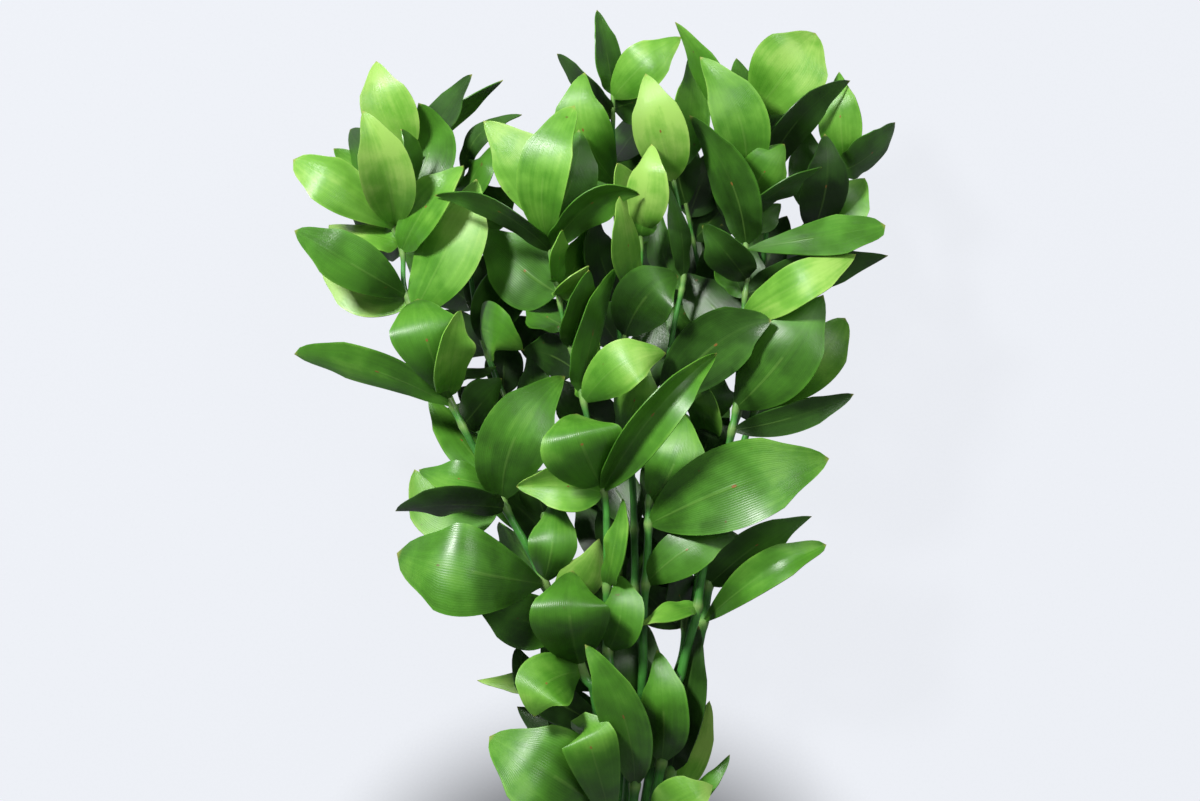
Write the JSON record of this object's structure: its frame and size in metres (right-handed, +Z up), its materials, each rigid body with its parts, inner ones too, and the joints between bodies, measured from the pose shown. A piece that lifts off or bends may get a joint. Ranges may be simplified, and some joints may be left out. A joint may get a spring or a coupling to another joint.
{
  "type": "ruscus bunch",
  "caption": "Bunch of fresh glossy green ruscus lying on its side, leafy canes gathered by a rubber band near their cut ends.",
  "frame": {"origin": "on the surface that the bunch lies on, under the middle of its overall length and width", "axes": "+Y along the bunch from the cut ends to the leafy end, +Z up from the surface, +X to the right seen from above"},
  "size_m": [0.3007, 0.5803, 0.1471],
  "materials": {
    "bright_foliage": "gloss",
    "deep_foliage": "gloss",
    "band_rubber": "matte"
  },
  "bodies": {
    "root": {"left_stem": "bright_foliage", "inner_left_stem": "deep_foliage", "centre_left_stem": "bright_foliage", "centre_stem": "bright_foliage", "top_stem": "deep_foliage", "centre_right_stem": "bright_foliage", "right_stem": "bright_foliage", "upper_right_stem": "deep_foliage", "far_right_stem": "bright_foliage", "low_right_stem": "deep_foliage", "tie_band": "band_rubber"}
  },
  "joints": []
}
